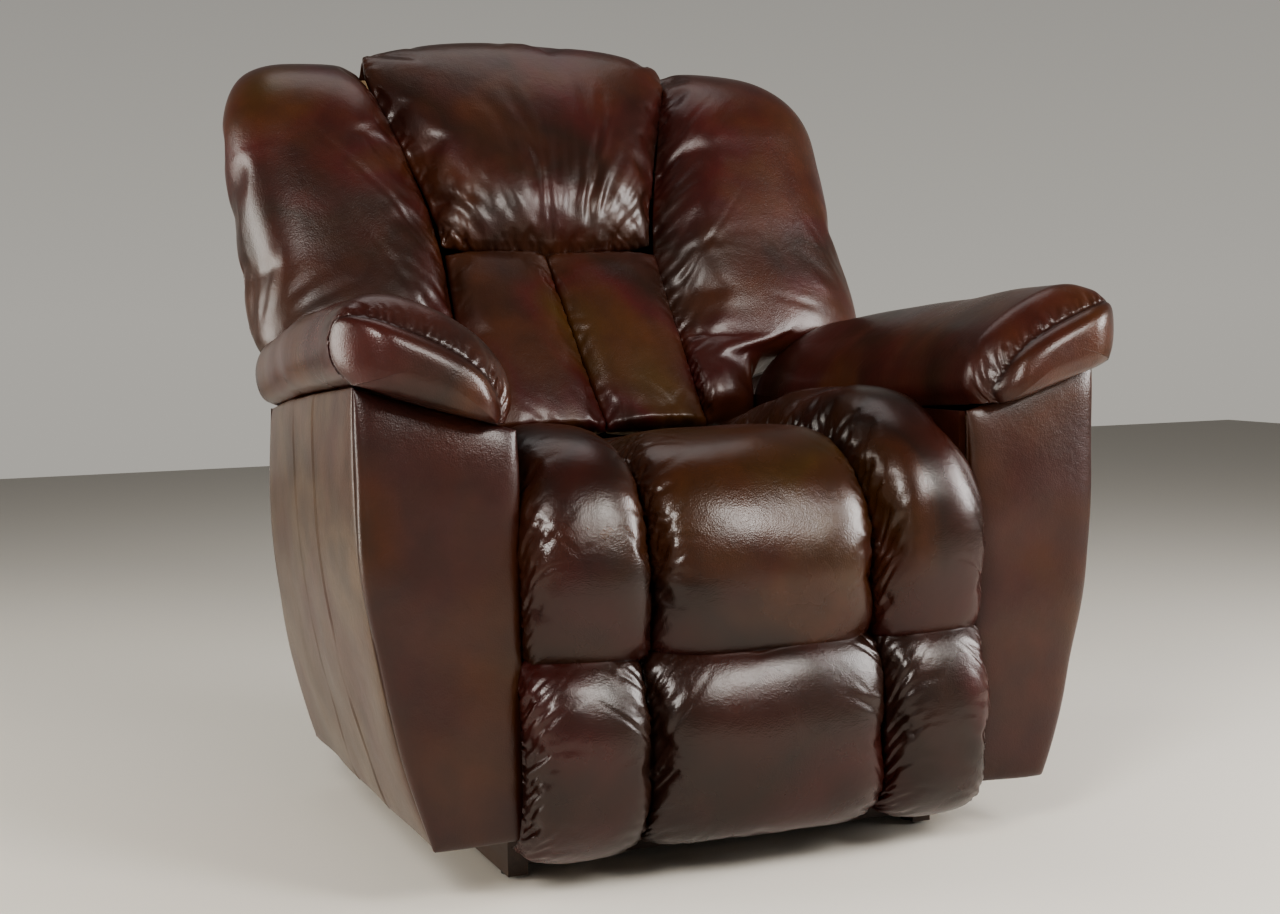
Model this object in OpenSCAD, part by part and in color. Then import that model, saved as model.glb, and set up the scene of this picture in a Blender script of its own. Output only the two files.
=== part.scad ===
// Rocking recliner armchair with a channelled footrest.
// The sitter looks along -Y, so the sitter's left is +X. The floor is z = 0.

/* [Overall] */
// Width over the arm pads
chair_w = 1000; // [980:1:1020]
// Depth from the footrest's face to the outside back
chair_d = 1024; // [1020:1:1030]
// Height of the headrest's top above the floor
chair_h = 1095; // [1090:1:1100]
// Lean of the backrest at rest, in degrees
back_lean = 20; // [18:1:21]

/* [Base and rocker] */
// Height of the base rails' top above the floor
base_top = 46; // [40:1:50]
// Width of a base rail
base_rail_w = 25; // [20:1:26]
// Distance along the chair where the rockers touch the rails
rocker_contact_y = -30; // [-40:1:-20]
// Flank angle of the rockers in front of the contact, in degrees
rocker_front_angle = 4.4; // [4.3:0.1:6]
// Flank angle of the rockers behind the contact, in degrees
rocker_rear_angle = 7.4; // [7.3:0.1:9]

/* [Arms] */
// Distance between the inner faces of the arms
arm_gap = 580; // [576:1:584]
// Height of the arms' lower edge
arm_bottom = 70; // [66:1:80]
// Half width of the chair at the arm panels
arm_reach = 474; // [468:1:476]
// How far the outer panel curves in at its lower edge
arm_tuck = 77; // [60:1:80]
// Thickness of the covered arm panels
panel_t = 9; // [6:1:10]
// Height of the arm pads' top
arm_pad_top = 690; // [680:1:700]

/* [Seat] */
// Half width of the seat
seat_half = 287; // [284:1:288]
// Where the seat's two channel seams lie, from the middle
seat_seam = 143; // [138:1:148]
// Height of the seat's crown
seat_top = 552; // [545:1:558]
// Height of the seat cushions' lower front edge
seat_front_bottom = 278; // [276:1:282]

/* [Back] */
// Half width of the headrest at its top
headrest_top_half = 248; // [240:1:252]
// Half width of the headrest at its lower seam
headrest_low_half = 168; // [160:1:172]
// Height of the headrest's lower seam along the back
headrest_low = 412; // [405:1:418]

/* [Footrest and its linkage] */
// Half of one linkage bar's pivot distance
half_link = 96; // [94:1:97]
// Angle of the bars above horizontal when the footrest is stowed
stow_angle = 74; // [73:1:75]
// Turn of the drive shaft from stowed to extended
drive_turn = 56; // [54:1:56]
// Turn of the footrest board for each degree of the drive shaft
board_ratio = 1.6; // [1.5:0.05:1.6]
// Where the footrest's two channel seams lie, from the middle
footrest_seam = 149; // [145:1:153]
// Lower edge of the footrest cushions when stowed
footrest_bottom = 50; // [48:1:54]

/* [Hidden] */
$fn = 48;
gap = 0.5;                     // face clearance between moving bodies
seam_gap = 1.5;                // space between neighbouring cushions
fit = 0.05;                    // radial running clearance of the pins
chair_front = -chair_d / 2;
chair_rear = chair_d / 2;
half_w = chair_w / 2;

// Planes of the mechanism, from the middle outward
bracket_x = [238, 242];        // footrest bracket plates
inner_bar_x = [244, 248];      // bars that slope up to the front
outer_bar_x = [250, 254];      // bars that slope down to the front
back_bracket_x = [253, 256];
plate_x = [256.5, 260.5];      // mechanism plates
base_x = 262;                  // inner face of the base rails
arm_x = arm_gap / 2;           // inner face of the arms

// Pivots, as [y, z]
recline_pivot = [190, 330];
drive_pivot = [-296.6, 254];
link_run = 2 * half_link * cos(stow_angle);
link_drop = 2 * half_link * sin(stow_angle);
slide_pin = drive_pivot + [0, -link_drop];
first_knee_top = drive_pivot + [-link_run, 0];
first_knee_low = drive_pivot + [-link_run, -link_drop];
second_knee_low = drive_pivot + [-2 * link_run, -link_drop];
board_pivot = drive_pivot + [-2 * link_run, 0];
first_cross = (drive_pivot + first_knee_low) / 2;
second_cross = (first_knee_top + second_knee_low) / 2;
pin_r = 5;
bar_w = 22;
drive_r = 9;
bush_r = 12;
shaft_r = 8;

// Base
glide_h = 4;
base_front = -382;
base_rear = 250;
base_outer = base_x + base_rail_w;
spring_seat_z = 26;
spring_seat_t = 4;
spring_hanger_z = 110;
spring_x = 240;
spring_step = 50;
spring_wire = 2;
spring_coil_r = 12;

// Chassis
rocker_front = -250;
rocker_rear = 190;
rocker_top = 180;
rocker_lift = 0.9;

// Arms
arm_front = -470;
arm_front_t = 15;
arm_rear = 165;
arm_bend_z = 400;              // the outer panel is upright above this height
arm_top_inner = 540;
arm_top_outer = 594;
pad_front = -505;

// Seat
rail_x = [227.5, 252];
seat_rail_z = [338, 378];
seat_spring_z = 380;
deck_z = [382.5, 390];
seat_cushion_z = 390.5;
seat_rear = 55;
seat_front = -500;
seat_lip_t = 54;
lug_t = 4;

// Back, in its own frame: y is its depth, z runs up along the lean
upright_x = [228.5, 253];
frame_d = 18;
frame_top = 745;
cushion_back = -20;
headrest_front = -128;
headrest_top = (chair_h - recline_pivot[1] + headrest_front * sin(back_lean)) / cos(back_lean);
wing_front = -105;
wing_low = 130;
wing_side_low = 290;
outside_t = 12;
outside_top = 770;
outside_rear = (chair_rear - recline_pivot[0] - outside_top * sin(back_lean)) / cos(back_lean);

// Footrest
board_t = 12;
board_rear = board_pivot[0] - 12.7;
board_front = board_rear - board_t;
footrest_top = 262;
footrest_half = 305;
cam_clear = 0.35;
cam_wall = 9;

// ---- drawing helpers ----

// Children drawn for the left side, put on the given side: 1 left, -1 right
module on_side(side) {
    mirror([side < 0 ? 1 : 0, 0, 0]) children();
}

module both_sides() {
    for (side = [1, -1]) on_side(side) children();
}

// A profile in y and z, extruded across the chair
module across(x_span) {
    translate([x_span[0], 0, 0])
        rotate([90, 0, 90])
            linear_extrude(x_span[1] - x_span[0]) children();
}

// A profile in x and z, extruded along the chair
module along(y_span) {
    translate([0, y_span[1], 0])
        rotate([90, 0, 0])
            linear_extrude(y_span[1] - y_span[0]) children();
}

// A box from its lowest and highest corners
module block(low, high) {
    translate(low) cube(high - low);
}

// A round bar across the chair, centred on a [y, z] pivot
module cross_bar(x_span, pivot, r) {
    translate([x_span[0], pivot[0], pivot[1]])
        rotate([0, 90, 0]) cylinder(h = x_span[1] - x_span[0], r = r);
}

// Children placed in the leaning frame of the back
module on_back() {
    translate([0, recline_pivot[0], recline_pivot[1]])
        rotate([-back_lean, 0, 0]) children();
}

// Points of an arc, in degrees
function arc(centre, r, from, to, steps = 8) = [
    for (i = [0 : steps])
        centre + r * [cos(from + (to - from) * i / steps), sin(from + (to - from) * i / steps)]
];

// A flat bar between two [y, z] pivots, with rounded ends
module bar_outline(from, to, w) {
    run = to - from;
    heading = atan2(run[1], run[0]);
    polygon(concat(
        arc(to, w / 2, heading - 90, heading + 90, 12),
        arc(from, w / 2, heading + 90, heading + 270, 12)
    ));
}

// One edge of a zigzag spring: its middle line moved sideways by d
function zigzag_edge(bends, pitch, span, d) = concat(
    [[-span / 2, d]],
    [
        for (i = [0 : bends - 1])
            let (side = i % 2 == 0 ? 1 : -1, r = pitch / 2 - side * d)
                for (a = [-90 : 30 : 90])
                    [side * (span / 2 + r * cos(a)), (i + 0.5) * pitch + r * sin(a)]
    ],
    [[-span / 2, bends * pitch - d]]
);

// A flat zigzag spring with an odd number of bends, running up y from the origin
module zigzag_spring(bends, pitch, width, wire) {
    span = width - pitch;
    edge = zigzag_edge(bends, pitch, span, wire / 2);
    far_edge = zigzag_edge(bends, pitch, span, -wire / 2);
    translate([0, 0, -wire / 2])
        linear_extrude(wire)
            polygon(concat(edge, [for (i = [len(far_edge) - 1 : -1 : 0]) far_edge[i]]));
}

// ---- base ----

module base_rail(side) {
    color("#2a1c14")
        on_side(side) block([base_x, base_front, glide_h], [base_outer, base_rear, base_top]);
}

module base_cross_rails() {
    color("#2a1c14") {
        block([-base_x, -360, 10], [base_x, -342, 34]);
        block([-base_x, 222, 10], [base_x, 240, 40]);
    }
}

module base_corner_brackets() {
    leg = 24;
    t = 3;
    color("#55585c")
        both_sides()
            for (place = [[-342, 1], [222, -1]]) {
                block([base_x - leg, min(place[0], place[0] + place[1] * t), 12],
                      [base_x, max(place[0], place[0] + place[1] * t), 28]);
                block([base_x - t, min(place[0], place[0] + place[1] * leg), 12],
                      [base_x, max(place[0], place[0] + place[1] * leg), 28]);
            }
}

module floor_glides() {
    color("#16161a")
        both_sides()
            for (y = [-350, 220])
                translate([base_x + base_rail_w / 2, y, 0]) cylinder(h = glide_h, r = 11);
}

module spring_seats() {
    color("#55585c")
        both_sides() {
            block([spring_x - 16, rocker_contact_y - 80, spring_seat_z],
                  [base_x, rocker_contact_y + 80, spring_seat_z + spring_seat_t]);
            block([base_x - 3, rocker_contact_y - 80, spring_seat_z - 14],
                  [base_x, rocker_contact_y + 80, spring_seat_z]);
        }
}

// One coil spring as a swept ring of wire
module coil_spring(height, coil_r, wire_r, turns) {
    per_turn = 12;
    sides = 6;
    rings = turns * per_turn;
    points = [
        for (i = [0 : rings])
            let (turn = 360 * i / per_turn, z = wire_r + (height - 2 * wire_r) * i / rings)
                for (s = [0 : sides - 1])
                    let (a = 360 * s / sides, out = coil_r + wire_r * cos(a))
                        [out * cos(turn), out * sin(turn), z + wire_r * sin(a)]
    ];
    walls = [
        for (i = [0 : rings - 1])
            for (s = [0 : sides - 1])
                let (n = (s + 1) % sides)
                    [i * sides + s, i * sides + n, (i + 1) * sides + n, (i + 1) * sides + s]
    ];
    start_cap = [[for (s = [0 : sides - 1]) sides - 1 - s]];
    end_cap = [[for (s = [0 : sides - 1]) rings * sides + s]];
    polyhedron(points, concat(walls, start_cap, end_cap), convexity = 8);
}

module rocker_springs() {
    foot = spring_seat_z + spring_seat_t;
    color("#8d9196")
        both_sides()
            for (step = [-spring_step, spring_step])
                translate([spring_x, rocker_contact_y + step, foot])
                    coil_spring(spring_hanger_z - foot, spring_coil_r, spring_wire, 4);
}

// ---- chassis ----

module rocker_block(side) {
    contact_z = base_top + rocker_lift;
    color("#7a5a3a")
        on_side(side)
            across([plate_x[1], arm_x])
                polygon([
                    [rocker_contact_y, contact_z],
                    [rocker_rear, contact_z + (rocker_rear - rocker_contact_y) * tan(rocker_rear_angle)],
                    [rocker_rear, rocker_top],
                    [rocker_front, rocker_top],
                    [rocker_front, contact_z + (rocker_contact_y - rocker_front) * tan(rocker_front_angle)]
                ]);
}

module mechanism_plate(side) {
    front = drive_pivot[0] - 22;
    slot_top = drive_pivot[1] - 2 * half_link * sin(stow_angle - drive_turn);
    slot_w = 2 * (pin_r + cam_clear);
    color("#6b6e73")
        on_side(side)
            difference() {
                across(plate_x)
                    polygon([
                        [front, 56], [front + 48, 56], [-240, 80], [rocker_rear + 6, 84],
                        [rocker_rear + 6, 290], [recline_pivot[0] + 18, 312],
                        [recline_pivot[0] + 20, 350],
                        [recline_pivot[0] - 22, 352], [60, 240], [-230, 232],
                        [drive_pivot[0] + 22, drive_pivot[1] + 24], [front, drive_pivot[1] + 24]
                    ]);
                cross_bar([plate_x[0] - 1, plate_x[1] + 1], drive_pivot, bush_r);
                cross_bar([plate_x[0] - 1, plate_x[1] + 1], recline_pivot, shaft_r);
                for (z = [slide_pin[1], slot_top])
                    cross_bar([plate_x[0] - 1, plate_x[1] + 1], [drive_pivot[0], z], slot_w / 2);
                block([plate_x[0] - 1, drive_pivot[0] - slot_w / 2, slide_pin[1]],
                      [plate_x[1] + 1, drive_pivot[0] + slot_w / 2, slot_top]);
            }
}

module front_cross_tube() {
    color("#6b6e73") cross_bar([-plate_x[0], plate_x[0]], [-180, 150], 10);
}

module rear_cross_rail() {
    color("#7a5a3a") block([-plate_x[0], 178, 88], [plate_x[0], 200, 138]);
}

module spring_hangers() {
    color("#6b6e73")
        both_sides()
            block([spring_x - 16, rocker_contact_y - 80, spring_hanger_z],
                  [plate_x[0], rocker_contact_y + 80, spring_hanger_z + 4]);
}

module drive_bushes() {
    color("#e6e2d6")
        both_sides()
            difference() {
                union() {
                    cross_bar([plate_x[0], plate_x[1] + 3], drive_pivot, bush_r);
                    cross_bar([plate_x[1], plate_x[1] + 3], drive_pivot, bush_r + 4);
                }
                cross_bar([plate_x[0] - 1, plate_x[1] + 5], drive_pivot, drive_r + fit);
            }
}

module recline_shaft() {
    color("#8d9196") cross_bar([-plate_x[1], plate_x[1]], recline_pivot, shaft_r);
}

// ---- arms ----

// The outer face of an arm at height z
function arm_face(z) = arm_reach - arm_tuck * pow(max(0, (arm_bend_z - z) / (arm_bend_z - arm_bottom)), 1.5);

// The sloping line where the pads sit on the arm panels
function arm_top(x) = arm_top_inner + (arm_top_outer - arm_top_inner) * (x - arm_x) / (arm_reach - arm_x);

// The outer edge, from the bottom up
arm_edge = [
    for (i = [0 : 10])
        let (z = arm_bottom + (arm_bend_z - arm_bottom) * i / 10) [arm_face(z), z]
];

module arm_section() {
    polygon(concat([[arm_x, arm_bottom]], arm_edge,
                   [[arm_reach, arm_top_outer], [arm_x, arm_top_inner]]));
}

module arm_frames() {
    front_post_y = arm_front + arm_front_t + 2;
    rear_post_y = arm_rear - panel_t - 2;
    post_x = [arm_x + 12, arm_x + 78];
    color("#b08a5c")
        both_sides() {
            block([post_x[0], front_post_y, arm_bottom + 6], [post_x[1], front_post_y + 20, 530]);
            block([post_x[0], rear_post_y - 20, arm_bottom + 6], [post_x[1], rear_post_y, 530]);
            block([post_x[0] + 20, front_post_y + 20, 500], [post_x[0] + 50, rear_post_y - 20, 530]);
            block([post_x[0], front_post_y + 20, arm_bottom + 6],
                  [post_x[0] + 30, rear_post_y - 20, arm_bottom + 36]);
        }
}

module arm_inner_panel(side) {
    color("#5b2a1e")
        on_side(side)
            difference() {
                block([arm_x, arm_front + arm_front_t, arm_bottom],
                      [arm_x + panel_t, arm_rear - panel_t, arm_top_inner - 1]);
                cross_bar([arm_x - 1, arm_x + panel_t + 1], drive_pivot, bush_r);
            }
}

module arm_outer_panel(side) {
    color("#6a4436")
        on_side(side)
            difference() {
                along([arm_front + arm_front_t, arm_rear - panel_t])
                    polygon(concat(
                        arm_edge,
                        [[arm_reach, arm_top(arm_reach) - 1], [arm_reach - panel_t, arm_top(arm_reach - panel_t) - 1]],
                        [for (i = [10 : -1 : 0]) arm_edge[i] - [panel_t, 0]]
                    ));
                cross_bar([arm_reach - 60, arm_reach + 1], drive_pivot, bush_r);
            }
}

module arm_front_panel(side) {
    color("#8a3f20")
        on_side(side) along([arm_front, arm_front + arm_front_t]) arm_section();
}

module arm_rear_panels() {
    color("#5b2a1e")
        both_sides() along([arm_rear - panel_t, arm_rear]) arm_section();
}

module arm_pad(side) {
    centre = [half_w - 103, 612];
    half_size = [103, arm_pad_top - 612];
    bulge = 0.75;
    color("#5b2a1e")
        on_side(side)
            along([pad_front, arm_rear])
                polygon([
                    for (a = [0 : 10 : 350])
                        let (
                            x = centre[0] + half_size[0] * sign(cos(a)) * pow(abs(cos(a)), bulge),
                            z = centre[1] + half_size[1] * sign(sin(a)) * pow(abs(sin(a)), bulge)
                        )
                            [x, max(z, arm_top(x) + gap)]
                ]);
}

// ---- seat ----

module seat_rail(side) {
    color("#b08a5c")
        on_side(side)
            block([rail_x[0], -420, seat_rail_z[0]], [rail_x[1], 150, seat_rail_z[1]]);
}

module seat_cross_rails() {
    color("#b08a5c") {
        block([-rail_x[1], -440, seat_rail_z[0]], [rail_x[1], -420, seat_rail_z[1]]);
        block([-rail_x[0] + lug_t, 112, seat_rail_z[0] + 6], [rail_x[0] - lug_t, 140, seat_rail_z[1]]);
    }
}

module seat_springs() {
    bends = 11;
    reach = [-430, 126];
    color("#8d9196")
        for (x = [-165, -55, 55, 165])
            translate([x, reach[0], seat_spring_z])
                zigzag_spring(bends, (reach[1] - reach[0]) / bends, 90, 4);
}

module seat_deck() {
    color("#2b2b2e")
        block([-rail_x[1], -440, deck_z[0]], [rail_x[1], 140, deck_z[1]]);
}

module seat_hinge_lugs() {
    lug_x = [rail_x[0] - lug_t, rail_x[0]];
    color("#6b6e73")
        both_sides()
            difference() {
                across(lug_x)
                    bar_outline([60, 352], recline_pivot, 30);
                cross_bar([lug_x[0] - 1, lug_x[1] + 1], recline_pivot, shaft_r + fit);
            }
}

// Side outline of a seat channel, with its rounded front lip
module seat_outline() {
    lip_r = 27;
    brow_r = 60;
    polygon(concat(
        [[seat_rear, seat_cushion_z], [seat_rear, seat_top - 54]],
        [[-160, seat_top - 14], [-290, seat_top]],
        arc([seat_front + brow_r, seat_top - brow_r - 6], brow_r, 80, 180),
        arc([seat_front + lip_r, seat_front_bottom + lip_r], lip_r, 180, 270),
        [[seat_front + seat_lip_t, seat_front_bottom], [seat_front + seat_lip_t, seat_cushion_z]]
    ));
}

module seat_cushion(x_span) {
    color("#5b2a1e") across(x_span) seat_outline();
}

// ---- back ----

module back_upright(side) {
    color("#b08a5c")
        on_side(side)
            on_back() block([upright_x[0], -frame_d, 20], [upright_x[1], frame_d, frame_top]);
}

module back_cross_rails() {
    color("#b08a5c")
        on_back()
            for (z = [60, frame_top - 45])
                block([-upright_x[0], -frame_d, z], [upright_x[0], frame_d, z + 42]);
}

module back_springs() {
    bends = 11;
    low = 80;
    color("#8d9196")
        on_back()
            for (x = [-130, 0, 130])
                translate([x, frame_d + 2, low])
                    rotate([90, 0, 0])
                        zigzag_spring(bends, (frame_top - 24 - low) / bends, 100, 4);
}

module back_brackets() {
    color("#6b6e73")
        both_sides()
            difference() {
                on_back()
                    across(back_bracket_x) bar_outline([0, 0], [0, 190], 34);
                cross_bar([back_bracket_x[0] - 1, back_bracket_x[1] + 1], recline_pivot, shaft_r + fit);
            }
}

module back_outside_panel() {
    wide = 470;
    tail = 248;
    foot = 372;
    waist = [408, 275];
    shoulder_r = 70;
    color("#5b2a1e")
        on_back()
            along([outside_rear - outside_t, outside_rear])
                polygon(concat(
                    [[-tail, -110], [tail, -110], [tail, -20], [foot, -20], waist, [wide, waist[1] + 90]],
                    arc([wide - shoulder_r, outside_top - shoulder_r], shoulder_r, 0, 90),
                    arc([shoulder_r - wide, outside_top - shoulder_r], shoulder_r, 90, 180),
                    [[-wide, waist[1] + 90], [-waist[0], waist[1]], [-foot, -20], [-tail, -20]]
                ));
}

module back_side_panels() {
    color("#5b2a1e")
        both_sides()
            on_back()
                along([2, outside_rear - outside_t - 1])
                    polygon([[base_x, -10], [366, -10], [400, wing_side_low - 2], [base_x, wing_side_low - 2]]);
}

module headrest_cushion() {
    corner_r = 60;
    low = headrest_low + seam_gap;
    slope = (headrest_top_half - headrest_low_half) / (headrest_top - corner_r - low);
    color("#6a2c1a")
        on_back()
            along([headrest_front, cushion_back])
                polygon(concat(
                    [[-headrest_low_half, low], [headrest_low_half, low]],
                    arc([headrest_top_half - corner_r, headrest_top - corner_r], corner_r, 0, 90),
                    arc([corner_r - headrest_top_half, headrest_top - corner_r], corner_r, 90, 180)
                ));
}

// Half of the lumbar pad, thicker at its lower edge
module lumbar_cushion(side) {
    low = 118;
    color("#5b2a1e")
        on_side(side)
            on_back()
                across([seam_gap / 2, headrest_low_half])
                    polygon(concat(
                        [[cushion_back, low], [-150, low]],
                        arc([-158, low + 30], 30, 270, 180, 5),
                        [[-150, 260], [-112, headrest_low], [cushion_back, headrest_low]]
                    ));
}

// The bolster beside the headrest and lumbar pads, and its wrap round the frame
module wing_cushion(side) {
    inner = headrest_low_half + seam_gap;
    top = 738;
    corner_r = 80;
    outer = half_w - 2;
    frame_side = upright_x[1] + 9;
    outer_edge = concat(
        [[outer, 420]],
        arc([outer - 28 - corner_r, top - corner_r], corner_r, 0, 90)
    );
    color("#5b2a1e")
        on_side(side)
            on_back() {
                along([wing_front, cushion_back])
                    polygon(concat(
                        [[inner, wing_low], [seat_half - 2, wing_low], [seat_half - 2, wing_side_low],
                         [outer - 26, wing_side_low]],
                        outer_edge,
                        [[headrest_top_half + seam_gap, top], [headrest_top_half + seam_gap, headrest_top - 58],
                         [inner, headrest_low]]
                    ));
                along([cushion_back, outside_rear - outside_t - 1])
                    polygon(concat(
                        [[frame_side, wing_side_low], [outer - 26, wing_side_low]],
                        outer_edge,
                        [[frame_side, top]]
                    ));
            }
}

// ---- drive and footrest linkage ----

module drive_shaft() {
    color("#8d9196") cross_bar([-plate_x[1] - 3, 474], drive_pivot, drive_r);
}

module release_handle() {
    lever = 132;
    droop = 60;
    grip_r = 11;
    hub_x = [461, 474];
    grip_x = hub_x[1] + 2;
    color("#2e211a")
        difference() {
            union() {
                cross_bar(hub_x, drive_pivot, 20);
                translate([0, drive_pivot[0], drive_pivot[1]])
                    rotate([droop, 0, 0]) {
                        block([hub_x[0] + 3, -lever, -11], [hub_x[1], 0, 11]);
                        translate([grip_x, -lever, 0]) rotate([-90, 0, 0]) cylinder(h = 88, r = grip_r);
                        translate([grip_x, -lever, 0]) sphere(r = grip_r);
                        translate([grip_x, 88 - lever, 0]) sphere(r = grip_r);
                    }
            }
            cross_bar([hub_x[0] - 1, hub_x[1]], drive_pivot, drive_r);
        }
}

// A linkage bar with a middle hole, from one pivot to the other
module link(from, to, x_span, hole_radii) {
    middle = (from + to) / 2;
    difference() {
        across(x_span) bar_outline(from, to, bar_w);
        for (i = [0 : 2])
            if (hole_radii[i] > 0)
                cross_bar([x_span[0] - 1, x_span[1] + 1], [from, middle, to][i], hole_radii[i]);
    }
}

module drive_links() {
    color("#b9bcc0")
        both_sides() {
            link(drive_pivot, first_knee_low, outer_bar_x, [drive_r, 0, 0]);
            cross_bar([inner_bar_x[0], outer_bar_x[0]], first_cross, pin_r);
            cross_bar([inner_bar_x[0], outer_bar_x[0]], first_knee_low, pin_r);
        }
}

module slide_links() {
    color("#a4a7ab")
        both_sides() {
            link(slide_pin, first_knee_top, inner_bar_x, [0, pin_r + fit, 0]);
            cross_bar([inner_bar_x[1], plate_x[1] + gap], slide_pin, pin_r);
            cross_bar([inner_bar_x[1], outer_bar_x[1]], first_knee_top, pin_r);
        }
}

module lower_links() {
    color("#b9bcc0")
        both_sides() {
            link(first_knee_top, second_knee_low, outer_bar_x, [pin_r + fit, pin_r + 0.6, 0]);
            cross_bar([bracket_x[0], outer_bar_x[0]], second_knee_low, pin_r);
        }
}

module upper_links() {
    color("#a4a7ab")
        both_sides() {
            link(first_knee_low, board_pivot, inner_bar_x, [pin_r + fit, 0, 0]);
            cross_bar([inner_bar_x[1], outer_bar_x[1]], second_cross, pin_r);
            cross_bar([bracket_x[0], inner_bar_x[0]], board_pivot, pin_r);
        }
}

// Where the lower link's end pin lies in the board's frame after a turn of the drive
function cam_point(turn) =
    let (rise = 2 * half_link * sin(stow_angle - turn), swing = board_ratio * turn)
        rise * [sin(swing), -cos(swing)];

function cam_way(turn) =
    let (step = cam_point(turn + 0.2) - cam_point(turn - 0.2)) step / norm(step);

// The cam path moved sideways by d, outward from the board hinge
function cam_side(d) = [
    for (i = [0 : 28])
        let (turn = drive_turn * i / 28, way = cam_way(turn)) cam_point(turn) + d * [way[1], -way[0]]
];

module footrest_bracket() {
    slot_half = pin_r + cam_clear;
    outer = slot_half + cam_wall;
    low_side = cam_side(outer);
    slot_out = cam_side(slot_half);
    slot_in = cam_side(-slot_half);
    through = [bracket_x[0] - 1, bracket_x[1] + 1];
    translate([0, board_pivot[0], board_pivot[1]])
        difference() {
            across(bracket_x)
                polygon(concat(
                    [[board_rear - board_pivot[0], -link_drop - outer]],
                    low_side,
                    [cam_point(drive_turn) + outer * cam_way(drive_turn)],
                    [[36, outer], [board_rear - board_pivot[0], outer]]
                ));
            across(through)
                polygon(concat(slot_out, [for (i = [28 : -1 : 0]) slot_in[i]]));
            cross_bar(through, cam_point(0), slot_half);
            cross_bar(through, cam_point(drive_turn), slot_half);
            cross_bar(through, [0, 0], pin_r + fit);
        }
}

module footrest_brackets() {
    color("#6b6e73")
        both_sides() {
            footrest_bracket();
            block([bracket_x[0] - 26, board_rear, 64], [bracket_x[0], board_rear + 3, 252]);
        }
}

module footrest_board() {
    color("#b08a5c")
        block([-seat_half, board_front, footrest_bottom + 12], [seat_half, board_rear, footrest_top - 4]);
}

// Side outline of a footrest channel, rounded at its front edges
module footrest_outline() {
    top_r = 30;
    low_r = 34;
    polygon(concat(
        [[board_front, footrest_bottom + 10], [board_front, footrest_top]],
        arc([chair_front + top_r, footrest_top - top_r], top_r, 90, 180),
        arc([chair_front + low_r, footrest_bottom + low_r], low_r, 180, 270),
        [[board_front - 16, footrest_bottom]]
    ));
}

// An outer footrest channel, wider in front of the arm panels than between them
module footrest_side_cushion(side) {
    lip_y = arm_front - 8;
    color("#5b2a1e")
        on_side(side) {
            intersection() {
                across([footrest_seam + seam_gap / 2, footrest_half]) footrest_outline();
                union() {
                    block([0, chair_front - 1, 0], [footrest_half, lip_y, footrest_top + 1]);
                    block([0, lip_y, 0], [seat_half, board_front + 1, footrest_top + 1]);
                }
            }
        }
}

module footrest_centre_cushion() {
    edge = footrest_seam - seam_gap / 2;
    color("#5b2a1e") across([-edge, edge]) footrest_outline();
}

base_rail(1);  // base_rail_left
base_rail(-1);  // base_rail_right
base_cross_rails();
base_corner_brackets();
floor_glides();
spring_seats();
rocker_springs();
rocker_block(1);  // rocker_block_left
rocker_block(-1);  // rocker_block_right
mechanism_plate(1);  // mechanism_plate_left
mechanism_plate(-1);  // mechanism_plate_right
front_cross_tube();
rear_cross_rail();
spring_hangers();
drive_bushes();
recline_shaft();
arm_frames();
arm_inner_panel(1);  // arm_inner_panel_left
arm_inner_panel(-1);  // arm_inner_panel_right
arm_outer_panel(1);  // arm_outer_panel_left
arm_outer_panel(-1);  // arm_outer_panel_right
arm_front_panel(1);  // arm_front_panel_left
arm_front_panel(-1);  // arm_front_panel_right
arm_rear_panels();
arm_pad(1);  // arm_pad_left
arm_pad(-1);  // arm_pad_right
seat_rail(1);  // seat_rail_left
seat_rail(-1);  // seat_rail_right
seat_cross_rails();
seat_springs();
seat_deck();
seat_hinge_lugs();
seat_cushion([seat_seam + seam_gap / 2, seat_half]);  // seat_cushion_left
seat_cushion([seam_gap / 2 - seat_seam, seat_seam - seam_gap / 2]);  // seat_cushion_centre
seat_cushion([-seat_half, -seat_seam - seam_gap / 2]);  // seat_cushion_right
back_upright(1);  // back_upright_left
back_upright(-1);  // back_upright_right
back_cross_rails();
back_springs();
back_brackets();
back_outside_panel();
back_side_panels();
headrest_cushion();
lumbar_cushion(1);  // lumbar_cushion_left
lumbar_cushion(-1);  // lumbar_cushion_right
wing_cushion(1);  // wing_cushion_left
wing_cushion(-1);  // wing_cushion_right
drive_shaft();
release_handle();
drive_links();
slide_links();
lower_links();
upper_links();
footrest_brackets();
footrest_board();
footrest_side_cushion(1);  // footrest_cushion_left
footrest_centre_cushion();  // footrest_cushion_centre
footrest_side_cushion(-1);  // footrest_cushion_right
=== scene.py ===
import math

import bmesh
import bpy
import numpy as np
from mathutils import Matrix, Vector, noise


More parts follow.
